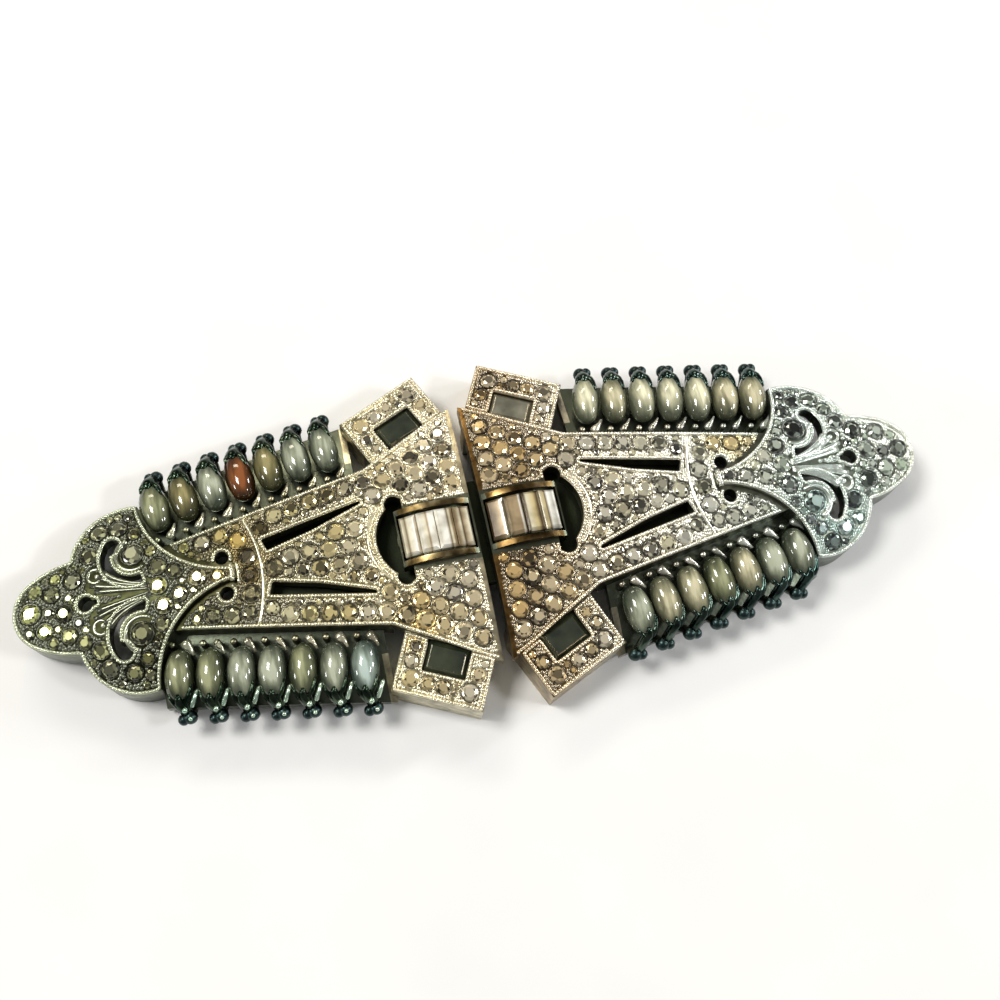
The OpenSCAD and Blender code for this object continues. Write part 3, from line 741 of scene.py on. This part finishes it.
for name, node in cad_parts.items():
    kind, *words = name.split("_")
    if kind == "cabochon":
        material = CABOCHON_GLASS[CABOCHON_ROWS[words[0], words[1]].split()[int(words[2]) - 1]]
    elif kind == "baguette":
        material = baguette_material(f"glass_{name}", BAGUETTE_REFLECTION_BANDS[words[0]][int(words[1]) - 1])
    elif kind == "square":
        material = REFLECTING_DARK_STONE if name == "square_stone_right_far" else DARK_STONE
    else:
        material = STEEL if kind == "pin" else CAST_METAL
    slots = node.data.materials
    if not slots:
        slots.append(material)
    for k in range(len(slots)):
        slots[k] = material


# Paving

EDGE_BEAD, EDGE_PITCH, EDGE_INSET, EDGE_ROOM = 0.17, 0.29, 0.19, 0.34
STONE_SIZES, BEAD_SIZES, SCROLL_STONE = (0.74, 0.6, 0.45, 0.32), (0.16, 0.11), 0.92
STONE_GAP, STONE_LIFT, BEAD_GAP, BEAD_SPREAD, BEAD_LIFT = -0.03, 0.04, -0.05, 0.06, 0.1
COLLAR_REACH, COLLAR_TURNS, LINE_SHARE = 1.15, (0, 6.28), 1.05
TIP_STONES = {
    "right": [
        (33.8, 5.2, 0.6), (35.7, 2.6, 0.74), (37.9, 2.05, 0.74), (36.4, 0.4, 0.78), (39.5, 0.1, 0.74),
        (37.8, -1.55, 0.74), (35.8, -2.3, 0.74), (33.8, -4.0, 0.78), (32.5, -6.2, 0.74), (30.2, -5.95, 0.6),
        (28.1, -1.75, 0.7), (26.5, 1.35, 0.66), (28.0, 0.35, 0.76), (26.1, -0.65, 0.66), (24.3, -0.3, 0.7),
        (22.8, 0.1, 0.6)],
    "left": [
        (39.4, 0.2, 0.84), (38.3, -1.6, 0.66), (36.5, -0.4, 0.7), (37.4, 1.5, 0.7), (36.3, -2.4, 0.66),
        (35.5, 2.3, 0.7), (33.9, 4.3, 0.72), (33.8, -4.2, 0.72), (31.2, 6.4, 0.74), (31.4, -6.6, 0.7),
        (28.2, 0.2, 0.74), (26.6, 1.2, 0.66), (26.5, -0.9, 0.66), (24.8, 0.2, 0.7), (23.1, -0.1, 0.6)]}
SCROLL_STONES = [(SCROLL_CENTRE[0], way * SCROLL_CENTRE[1], SCROLL_STONE) for way in (1, -1)]
STONE_LEVELS, STONE_SPREAD, TINT_DEPTHS = (0.09, 0.18, 0.3, 0.5, 0.9), (0.8, 1.15), (0.8, 1.8)
# Painted sparkle: brightness of each stone's table and of its other facets
TABLE_SPARKLE, FACET_SPARKLE = (0.4, 0.8, 1.6, 3.2, 6.0), (0.12, 0.4, 0.9, 1.2, 2.6, 6.0)
# Stone brightness along the brooch, painted light and shade: a pool of light at the seam, darker at the left
# tip and the right lobes
STONE_LIGHT_GAINS = [(-41, 0.75), (-30, 0.6), (-20, 0.95), (-14, 1.5), (-9, 2.2), (-2, 2.9), (0, 2.9), (1, 2.5),
               (9, 2.2), (20, 2.3), (27, 1.0), (32, 0.5), (36, 1.2), (41, 1.6)]
# Painted reflected colour of the stones: warm at the seam, cool at the right tip
STONE_REFLECTION_TINTS = [(-41, (0.84, 0.88, 0.5)), (-27, (0.88, 0.87, 0.5)), (-12, (0.98, 0.87, 0.56)),
               (0, (1.0, 0.89, 0.66)), (0.5, (0.98, 0.77, 0.44)), (5, (0.98, 0.79, 0.48)),
               (11, (1.0, 0.93, 0.72)), (24, (0.96, 0.98, 0.82)), (30, (0.88, 0.98, 0.87)),
               (41, (0.88, 0.98, 0.83))]
# Brightness of collars and beads along the brooch, painted light and shade: brightest just left of the seam,
# darker toward the left tip and just right of the seam
METAL_LIGHT_LEVELS = [(-41, 0.3), (-22, 0.35), (-14, 0.8), (-7, 1.4), (0, 1.5), (0.5, 0.5), (5, 0.55), (11, 1.0),
                (20, 1.3), (28, 0.8), (33, 0.75), (41, 1.1)]
# Patches of painted reflected colour
GOLDEN, CYAN = (1.0, 0.78, 0.36), (0.76, 0.93, 0.91)
REFLECTION_PATCHES = (((-21.0, 1.5), 5.0, GOLDEN), ((24.5, 4.0), 4.0, GOLDEN), ((-7.0, -7.5), 3.5, GOLDEN),
           ((31.5, -5.0), 6.5, CYAN))
METAL_PATCH_SHARE = 0.9
COLLAR_LEVELS, BEAD_LEVELS = (0.16, 0.3, 0.5), (0.75, 0.95, 1.0)
# Left flutes darker than the right ones: painted shade
FLUTE_LIGHT_LEVELS = {"left": 0.2, "right": 0.95}


def along_brooch(stops, x):
    """A value at a place along the brooch, between the values given at some places."""
    return float(np.interp(x, [place for place, value in stops], [value for place, value in stops]))


def patched(x, y, tint, strength):
    """A tint pulled toward the painted reflected colours of the patches that a place lies in."""
    for (a, b), reach, colour in REFLECTION_PATCHES:
        share = strength * max(0.0, 1 - math.hypot(x - a, y - b) / reach)
        tint = tuple(v + (c - v) * share for v, c in zip(tint, colour))
    return tint


def metal_shade(x, y, levels):
    """Colour of one collar or bead of metal between the stones, with painted light and shade along the brooch
    and painted reflected colour in the patches.
    """
    level = RANDOM.choice(levels) * along_brooch(METAL_LIGHT_LEVELS, x)
    return tuple(level * v for v in patched(x, y, WHITE, METAL_PATCH_SHARE))


def stone_shade(x, y):
    """Colour of one rhinestone, with painted light: brighter near the seam, and a painted reflection that is
    warm at the seam, cool at the right tip and tinted in a few patches.
    """
    level = RANDOM.choice(STONE_LEVELS) * RANDOM.uniform(*STONE_SPREAD) * along_brooch(STONE_LIGHT_GAINS, x)
    depth = RANDOM.uniform(*TINT_DEPTHS)
    tint = [along_brooch([(place, colour[k]) for place, colour in STONE_REFLECTION_TINTS], x) for k in range(3)]
    return tuple(level * v ** depth for v in patched(x, y, tint, 1.0))


def rail_stones(region):
    """Stones at an even pitch along both rails, where the region has room."""
    stones = []
    for way in (1, -1):
        (x, y), (end_x, end_y) = flipped(RAIL_ROW, way)
        length = math.hypot(end_x - x, end_y - y)
        for k in range(int(length / RAIL_ROW_PITCH) + 1):
            t = k * RAIL_ROW_PITCH / length
            point = (x + t * (end_x - x), y + t * (end_y - y))
            cell = np.searchsorted(region.xs, point[0]), np.searchsorted(region.ys, point[1])
            if region.room[cell] >= RAIL_STONE:
                region.place(point, RAIL_STONE * COLLAR_REACH, 0.0)
                stones.append((*point, RAIL_STONE))
    return stones


def pave(heap, metal, region, surface, stones, side):
    """Stones in a region, each in a collar, with beads of metal in the gaps."""
    stones = list(stones)
    for radius in STONE_SIZES:
        stones += [(x, y, r / COLLAR_REACH) for x, y, r in region.fill(radius * COLLAR_REACH, STONE_GAP)]
    for x, y, r in stones:
        place, normal = surface(x, y)
        shade = metal_shade(place.x * side, place.y, COLLAR_LEVELS)
        metal.add(COLLAR, place, normal, r, RANDOM.uniform(*COLLAR_TURNS), shade)
        turn = RANDOM.uniform(0, 2 * math.pi)
        shade = stone_shade(place.x * side, place.y)
        heap.add(BRILLIANT, place + normal * STONE_LIFT, normal, r, turn, shade, TABLE_SPARKLE, FACET_SPARKLE)
    for radius in BEAD_SIZES:
        for x, y, r in region.fill(radius, BEAD_GAP):
            place, normal = surface(x, y)
            shade = metal_shade(place.x * side, place.y, BEAD_LEVELS)
            metal.add(GRAIN, place, normal, r + BEAD_SPREAD, 0.0, shade)


def runs(points, wanted):
    """Unbroken stretches of a closed line of points that are wanted; a whole loop comes back as one."""
    keep = [bool(wanted(float(x), float(y))) for x, y in points]
    if all(keep):
        return [(points, True)]
    first = keep.index(False)
    order = [*range(first, len(points)), *range(first)]
    return [([points[k] for k in group], False) for kept, group in groupby(order, lambda k: keep[k]) if kept]


def beaded(metal, points, surface, loop):
    """A ridge with a line of fused beads on it."""
    if len(points) < 2:
        return
    metal.ridge(points, EDGE_BEAD * LINE_SHARE, surface, loop)
    for x, y in points:
        place, normal = surface(float(x), float(y))
        metal.add(GRAIN, place + normal * BEAD_LIFT, normal, EDGE_BEAD)


def edge(metal, region, surface, wanted=lambda x, y: True):
    """The beaded line just inside a region's edge; the room inside it is left for the paving."""
    depth = np.where(region.value > 0, 1.0, -np.abs(region.room))
    for line in contours(depth, -EDGE_INSET, region.xs, region.ys):
        for points, loop in runs(resample(line, EDGE_PITCH), wanted):
            beaded(metal, points, surface, loop)
    region.room -= EDGE_ROOM


def bend(points, count=10):
    """Smooth curve through three plan points given as start, pull and end."""
    a, b, c = (np.array(p, float) for p in points)
    return [tuple(a * (1 - t) ** 2 + b * 2 * t * (1 - t) + c * t * t) for t in np.linspace(0, 1, count)]


def arc(centre, radius, start, end, count):
    angles = np.radians(np.linspace(start, end, count))
    return [(centre[0] + radius * math.cos(a), centre[1] + radius * math.sin(a)) for a in angles]


def flipped(points, way):
    return [(x, y * way) for x, y in points]


rail_surface = dome_surface(CROSS_RADIUS, -RAIL_DROP)
tip_surface = dome_surface(PALMETTE_RADIUS, PALMETTE_RISE)
PALMETTE_CLEAR, SEAM_CLEAR, BARREL_CLEAR = 0.45, 0.4, 0.3


def rail_edge_wanted(x, y):
    """The rails' beaded edge stops at the palmette, at the seam and beside the barrel."""
    if abs(y) < BARREL_SIDE and x < BARREL_X + BARREL_HALF_CHORD + BARREL_CLEAR:
        return False
    return float(palmette(np.array([x, y]))) > PALMETTE_CLEAR and x > SEAM_X + SEAM_CLEAR


FLUTES = [((28.8, 0.14), (30.8, 0.4), (33.7, 0.86)), ((28.8, 0.34), (31.2, 0.62), (34.0, 1.5)),
          ((28.8, 0.5), (31.6, 0.86), (33.2, 2.1)), ((29.2, 0.7), (31.6, 1.12), (32.75, 2.5))]
CURL, CURL_RADIUS, CURL_TURN, CURL_SHARE = (33.55, 2.3), 0.62, (-150, 130, 14), 0.4
CURL_BEAD, CURL_BEAD_RADIUS = (-0.22, -0.12), 0.26
LIP_INSET, LIP_TURN = 0.95, (-125, 75, 22)
BAND_X, BAND_BOW, BAND_HALF = 19.3, 0.045, 4.9
STEM_BAND, STEM_BAND_HALF, STEM_BAND_WIDTH = 0.3, 0.75, 0.2
FOOT_GAP, FOOT_HALF, FOOT_WIDTH = 0.19, 0.95, 0.19
RIM_GAP, RIM_TURN, SEAM_STRIP = 0.72, (-47, 47, 24), 0.5

# Half width, or half widths along it, of each raised line, and the room that the paving leaves beside it

FLUTE_LINE, CURL_LINE, LIP_LINE = ((0.12, 0.27), 0.42), ((0.1, 0.2), 0.25), ((0.14, 0.3), 0.2)
BAND_LINE, RIM_LINE = (0.17, 0.16), (0.13, 0.12)


def lay(metal, region, surface, points, line, level=1.0):
    """A raised line that keeps the paving off."""
    width, room = line
    metal.ridge(points, width, surface, shade=level)
    region.block_out(points, room)


def crossing(x, half, count, bow=0.0):
    """A line of plan points across the brooch, straight or bowed."""
    return [(x + bow * y * y, y) for y in np.linspace(-half, half, count)]


def palmette_lines(metal, region, level):
    """Flutes between the scroll slots, curled petals beside them and lips around the scroll stones."""
    # level is this side's painted light or shade for the flutes; the curls and lips take part of it
    curl_level = CURL_SHARE + (1 - CURL_SHARE) * level
    for way in (1, -1):
        for flute in FLUTES:
            lay(metal, region, tip_surface, flipped(bend(flute), way), FLUTE_LINE, level)
        curl = flipped(arc(CURL, CURL_RADIUS, *CURL_TURN), way)
        lay(metal, region, tip_surface, curl, CURL_LINE, curl_level)
        region.block_out(flipped([CURL], way), CURL_LINE[1])
        place, normal = tip_surface(CURL[0] + CURL_BEAD[0], (CURL[1] + CURL_BEAD[1]) * way)
        metal.add(GRAIN, place, normal, CURL_BEAD_RADIUS)
        lip = flipped(arc(SCROLL_CENTRE, SCROLL_RADIUS - LIP_INSET, *LIP_TURN), way)
        lay(metal, region, tip_surface, lip, LIP_LINE, curl_level)
    metal.ridge(crossing(STEM_X + STEM_BAND, STEM_BAND_HALF, 6), STEM_BAND_WIDTH, tip_surface)


def rail_lines(metal, region):
    """The bowed band before the palmette, the line at its foot and the second line beside the crescent."""
    lay(metal, region, rail_surface, crossing(BAND_X, BAND_HALF, 28, BAND_BOW), BAND_LINE)
    metal.ridge(crossing(STEM_X - FOOT_GAP, FOOT_HALF, 8), FOOT_WIDTH, rail_surface)
    rim = arc((CRESCENT_X, 0), CRESCENT_RADIUS + RIM_GAP, *RIM_TURN)
    lay(metal, region, rail_surface, rim, RIM_LINE)


def block_out_plain(region):
    """Metal that stays plain: the strip along the seam and the ledges beside the barrel."""
    x, y = region.grid[..., 0], np.abs(region.grid[..., 1])
    region.room[(x < SEAM_X + SEAM_STRIP) | ((y < BARREL_SIDE) & (x < CRESCENT_END[0]))] = -1.0


def cabochon_x(i):
    second = ROW_START[0] + ROW_PITCH * (CABOCHONS - 2)
    step = CABOCHON_HALF_WIDTH + END_CABOCHON_HALF_WIDTH + END_CABOCHON_GAP
    return second + step * math.cos(ROW_TURN) if i == 1 else ROW_START[0] + ROW_PITCH * (CABOCHONS - i)


def row_y(x):
    return ROW_START[1] + ROW_SLOPE * (x - ROW_START[0])


def cabochon_point(i, row, across, outward, rise):
    """A point at cabochon i: across it, outward along it from its row's line, and above its axis."""
    x, shift = cabochon_x(i), CABOCHON_SHIFTS[row]
    c, s = math.cos(ROW_TURN), math.sin(ROW_TURN)
    middle_x, middle_y = x - shift * s, row_y(x) + shift * c
    slope = math.tan(CABOCHON_TILT_SHARE * math.asin(middle_y / CROSS_RADIUS))
    height = dome_height(middle_x, middle_y, CROSS_RADIUS, 0.0) - GALLERY_DROP + CABOCHON_AXIS
    height += rise - (outward - shift) * slope
    plan_y = row_y(x) + across * s + outward * c
    return Vector((x + across * c - outward * s, plan_y * ROWS[row], height))


def cabochon_radius(i, along):
    """Radius of cabochon i at a distance from its middle along its length."""
    a = END_CABOCHON_HALF_WIDTH if i == 1 else CABOCHON_HALF_WIDTH
    end, reach = CABOCHON_END_RADIUS, abs(along)
    middle = CABOCHON_HALF_LENGTH - end
    side_arc = (a * a + middle * middle - end * end) / (2 * (a - end))
    if reach < middle * side_arc / (side_arc - end):
        return math.sqrt(side_arc ** 2 - reach ** 2) - side_arc + a
    return math.sqrt(max(0.0, end ** 2 - (reach - middle) ** 2))


def on_cabochon(i, row, turn, along, off):
    """A point off the glass of cabochon i, turned around its length from its top."""
    r = cabochon_radius(i, along) + off
    outward = CABOCHON_SHIFTS[row] + along
    return cabochon_point(i, row, r * math.sin(turn), outward, r * math.cos(turn))


def claw_knob(i, clip, row):
    """Centre of the knob of the outer claw of cabochon i."""
    x = cabochon_x(i) + CLAW_SHIFTS[clip, row]
    y = row_y(cabochon_x(i)) + CLAW_REACH
    height = dome_height(x, y, CROSS_RADIUS, 0.0) - GALLERY_DROP + CLAW_KNOB_HEIGHT
    return Vector((x, y * ROWS[row], height))


HOOD_REACHES, ARM_REACHES, SHORT_ARM = (2.24, 2.0, 1.7), (2.2, 1.95, 1.6, 1.2, 0.8), 3
HOODS = {"far": ((0.5, 0.62, 0.44, 0.12), (0.5, 0.42, 0.32, 0.22, 0.1), 0.85),
         "near": ((0.45, 0.46, 0.3, 0.1), (0.42, 0.34, 0.24, 0.16, 0.1), 1.0)}
HOOD_OFF, BRIGHT_ROW = 0.06, ("left", "near")
PRONG = ((0.42, -2.86, 0.1), (0.5, -2.72, 0.16), (0.66, -2.46, 0.2), (0.98, -2.1, 0.25), (1.25, -1.6, 0.3))
PRONG_RADII, PRONG_SIZES, PRONG_LEVELS = (0.12, 0.42, 0.4, 0.22, 0.1), (0.7, 1.2), (0.6, 1.0, 1.0)
STROKE = ((1.56, 1.3, 0.3), (1.5, 1.5, 0.35), (1.28, 2.1, 0.3), (1.06, 2.7, 0.15), (1.0, 2.86, 0.1))
STROKE_RADII = (0.06, 0.2, 0.21, 0.2, 0.06)
# COOL_GLINT: cool white that paints glints on the strokes and blobs
BLOBS, BLOB_SIZES, COOL_GLINT = ((0.5, 3.05, 0.3), (0.95, 3.75, 0.1)), (0.27, 0.2), (0.7, 0.95, 1.0)


def claw_arms(dark, bright, clip, row):
    """Outer claws' hoods, near-black as a painted dark reflection; bright inner prongs; and in one row bright
    strokes and blobs in a cool white that paints glints.
    """
    lean = SIDES[clip]
    tongue_radii, arm_radii, spread = HOODS[row]

    def places(points):
        return [cabochon_point(i, row, across * lean, outward, rise) for across, outward, rise in points]

    for i in range(1, CABOCHONS + 1):
        knob = claw_knob(i, clip, row)
        tongue = [on_cabochon(i, row, 0.0, along, HOOD_OFF) for along in HOOD_REACHES]
        dark.tube([knob] + tongue, tongue_radii)
        for turn in (lean * spread, -lean * spread):
            reaches = ARM_REACHES if turn * lean > 0 else ARM_REACHES[:SHORT_ARM]
            arm = [on_cabochon(i, row, turn, along, HOOD_OFF) for along in reaches]
            dark.tube([knob] + arm, arm_radii)
        size, level = RANDOM.uniform(*PRONG_SIZES), RANDOM.choice(PRONG_LEVELS)
        bright.tube(places(PRONG), tuple(r * size for r in PRONG_RADII), level)
        if (clip, row) == BRIGHT_ROW:
            bright.tube(places(STROKE), STROKE_RADII, COOL_GLINT)
            for place, size in zip(places(BLOBS), BLOB_SIZES):
                bright.add(BALL, place, (0, 0, 1), size, shade=COOL_GLINT)


RAIL_ROW, RAIL_ROW_PITCH, RAIL_STONE = ((9.4, 6.02), (27.0, 2.75)), 1.66, 0.7
RAIL_BOX, TIP_BOX = ((0.0, -12.5), (28.5, 12.5)), ((21.0, -9.5), (41.5, 9.5))
BLOCK_BOX = ((-0.3, -0.3), (BLOCK_LENGTH + 0.3, BLOCK_WIDTH + 0.3))

for clip, side in SIDES.items():
    stones, metal, dark = Heap(), Heap(), Heap()
    rail_region = Region(rail_plate, *RAIL_BOX)
    edge(metal, rail_region, rail_surface, rail_edge_wanted)
    rail_lines(metal, rail_region)
    block_out_plain(rail_region)
    pave(stones, metal, rail_region, rail_surface, rail_stones(rail_region), side)
    tip_region = Region(palmette_plate, *TIP_BOX)
    edge(metal, tip_region, tip_surface)
    palmette_lines(metal, tip_region, FLUTE_LIGHT_LEVELS[clip])
    presets = TIP_STONES[clip] + SCROLL_STONES
    for x, y, r in presets:
        tip_region.place((x, y), r * COLLAR_REACH, 0.0)
    pave(stones, metal, tip_region, tip_surface, presets, side)
    for row, way in ROWS.items():
        block_region = Region(block_top, *BLOCK_BOX)

        def on_row(u, v, way=way):
            place, normal = block_surface(u, v)
            return Vector((place.x, place.y * way, place.z)), Vector((normal.x, normal.y * way, normal.z))

        edge(metal, block_region, on_row)
        pave(stones, metal, block_region, on_row, [], side)
        claw_arms(dark, metal, clip, row)
    stones.build(f"rhinestones_{clip}", RHINESTONE, "rhinestone", side, smooth=False)
    metal.build(f"settings_{clip}", BRIGHT, "plated_metal", side, smooth=True)
    dark.build(f"claw_arms_{clip}", DARK_METAL, "plated_metal", side, smooth=True)


# Floor, lights and camera

CAMERA_PLACE = Vector((-10.683, -30.562, 105.994)) * MM
CAMERA_RIGHT = Vector((0.97687, -0.21023, 0.03924))
CAMERA_UP = Vector((0.18922, 0.93516, 0.29945))
CAMERA_BACK = Vector((-0.09966, -0.2851, 0.9533))
FOCAL_PIXELS, FRAME_PIXELS, SENSOR = 1198.24, 1000, 36.0
CAMERA_SHIFT, CAMERA_CLIPS = (0.0206, 0.0319), (0.005, 10.0)
FLOOR_HALF, PAPER_GRAIN, PAPER_TONES = 1.2, 60.0, [(0.3, (0.76, 0.76, 0.75)), (0.7, (0.8, 0.8, 0.79))]
LIGHTS = (
    ("key", (-0.22, 0.1, 0.42), (0.14, 0.14), 1.6, (1.0, 0.98, 0.94)),
    ("fill", (0.38, -0.155, 0.4), (0.09, 0.06), 0.9, (0.97, 0.98, 1.0)),
    ("warm", (-0.05, 0.34, 0.25), (0.2, 0.06), 0.45, (1.0, 0.9, 0.74)),
    ("right_far", (0.37, 0.13, 0.17), (0.06, 0.06), 0.48, WHITE),
    ("right_near", (0.38, -0.04, 0.15), (0.05, 0.05), 0.3, WHITE),
    ("left_low", (-0.4, -0.02, 0.15), (0.06, 0.06), 0.25, WHITE))
WORLD_COLOUR, WORLD_STRENGTH = (0.83, 0.82, 0.8, 1.0), 0.26


def add_floor():
    corners = [(x * FLOOR_HALF, y * FLOOR_HALF, 0) for x, y in ((-1, -1), (1, -1), (1, 1), (-1, 1))]
    mesh = bpy.data.meshes.new("floor")
    mesh.from_pydata(corners, [], [(0, 1, 2, 3)])
    paper = Recipe("floor")
    colour = paper.ramp(paper.noise(PAPER_GRAIN), PAPER_TONES)
    mesh.materials.append(paper.done({"Base Color": colour, "Roughness": 0.8}))
    floor = new_object("floor", mesh)


def add_light(name, place, size, power, colour):
    data = bpy.data.lights.new(name, "AREA")
    data.shape = "RECTANGLE"
    data.size, data.size_y = size
    data.energy = power
    data.color = colour
    light = new_object(name, data)
    light.location = place
    light.rotation_mode = "QUATERNION"
    light.rotation_quaternion = (-Vector(place)).to_track_quat("-Z", "Y")


def add_camera():
    data = bpy.data.cameras.new("camera")
    data.sensor_width = SENSOR
    data.lens = FOCAL_PIXELS / FRAME_PIXELS * SENSOR
    data.shift_x, data.shift_y = CAMERA_SHIFT
    data.clip_start, data.clip_end = CAMERA_CLIPS
    camera = new_object("camera", data)
    turn = Matrix((CAMERA_RIGHT, CAMERA_UP, CAMERA_BACK)).transposed().to_4x4()
    camera.matrix_world = Matrix.Translation(CAMERA_PLACE) @ turn
    scene.camera = camera


def add_world():
    world = bpy.data.worlds.new("studio")
    world.use_nodes = True
    background = world.node_tree.nodes["Background"]
    background.inputs["Color"].default_value = WORLD_COLOUR
    background.inputs["Strength"].default_value = WORLD_STRENGTH
    scene.world = world


add_floor()
for light in LIGHTS:
    add_light(*light)
add_world()
scene.view_settings.view_transform = "Standard"
add_camera()

bpy.context.view_layer.update()
